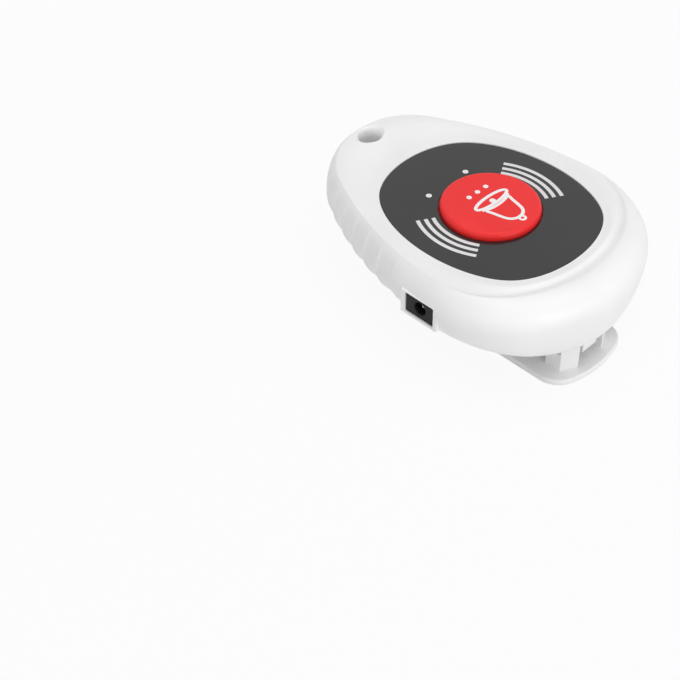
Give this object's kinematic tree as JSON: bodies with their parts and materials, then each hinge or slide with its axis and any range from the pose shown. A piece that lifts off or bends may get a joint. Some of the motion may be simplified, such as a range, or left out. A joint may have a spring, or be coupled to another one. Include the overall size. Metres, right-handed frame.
{
  "type": "nurse call button",
  "caption": "Hand-held nurse call button: white teardrop case with a large round red call key on a dark faceplate, side charging jack, lanyard hole and sprung belt clip.",
  "frame": {"origin": "under the middle of the case, on the plane that the belt clip's flat back rests on", "axes": "+Z out of the face with the call key, +Y to the lanyard end, +X to the right when the lanyard end is up"},
  "size_m": [0.0683, 0.09, 0.0324],
  "materials": {
    "white_plastic": "satin moulded white",
    "red_plastic": "satin moulded red",
    "grey_plate": "fine matt dark grey with a pale print",
    "clear_plastic": "clear moulded",
    "board_green": "solder mask",
    "black_plastic": "moulded black",
    "steel": "plated",
    "copper": "drawn copper wire",
    "cell_foil": "laminated foil",
    "foam_tape": "double-sided tape",
    "ivory_plastic": "moulded ivory",
    "ceramic": "fired ceramic",
    "red_lead": "wire insulation",
    "black_lead": "wire insulation"
  },
  "bodies": {
    "case": {"front_cover": "white_plastic", "rear_cover": "white_plastic", "faceplate": "grey_plate", "faceplate_adhesive": "foam_tape", "button_spring": "steel", "light_pipes": "clear_plastic", "indicator_leds": "ivory_plastic", "circuit_board": "board_green", "switch_body": "black_plastic", "switch_plate": "steel", "switch_dome": "steel", "controller_chip": "black_plastic", "radio_chip": "black_plastic", "charger_chip": "black_plastic", "crystal": "steel", "small_parts": "ceramic", "antenna_coil": "copper", "jack_body": "black_plastic", "jack_pin": "steel", "jack_contacts": "steel", "battery_cell": "cell_foil", "battery_tape": "foam_tape", "battery_socket": "ivory_plastic", "battery_plug": "ivory_plastic", "battery_lead_red": "red_lead", "battery_lead_black": "black_lead", "case_screws": "steel", "board_screws": "steel", "clip_spring": "steel"},
    "call_key": {"call_button": "red_plastic"},
    "plunger": {"switch_plunger": "black_plastic"},
    "clip": {"belt_clip": "white_plastic", "hinge_pin": "steel"}
  },
  "joints": [
    {"name": "key_press", "type": "slide", "parent": "case", "child": "call_key", "axis": [0, 0, -1], "range_m": [0, 0.0005], "stiffness_N_per_m": 800, "springref_m": -0.001, "deforming": ["button_spring"]},
    {"name": "plunger_press", "type": "slide", "parent": "case", "child": "plunger", "axis": [0, 0, -1], "range_m": [0, 0.0005], "deforming": ["switch_dome"]},
    {"name": "clip_hinge", "type": "hinge", "parent": "case", "child": "clip", "pos_m": [0, -0.036, 0.0079], "axis": [-1, 0, 0], "range_deg": [0, 18], "stiffness_Nm_per_rad": 0.3, "springref_deg": -3.44, "deforming": ["clip_spring"]}
  ],
  "couplings": [
    {"joint": "plunger_press", "follows": "key_press", "ratio": 1}
  ]
}
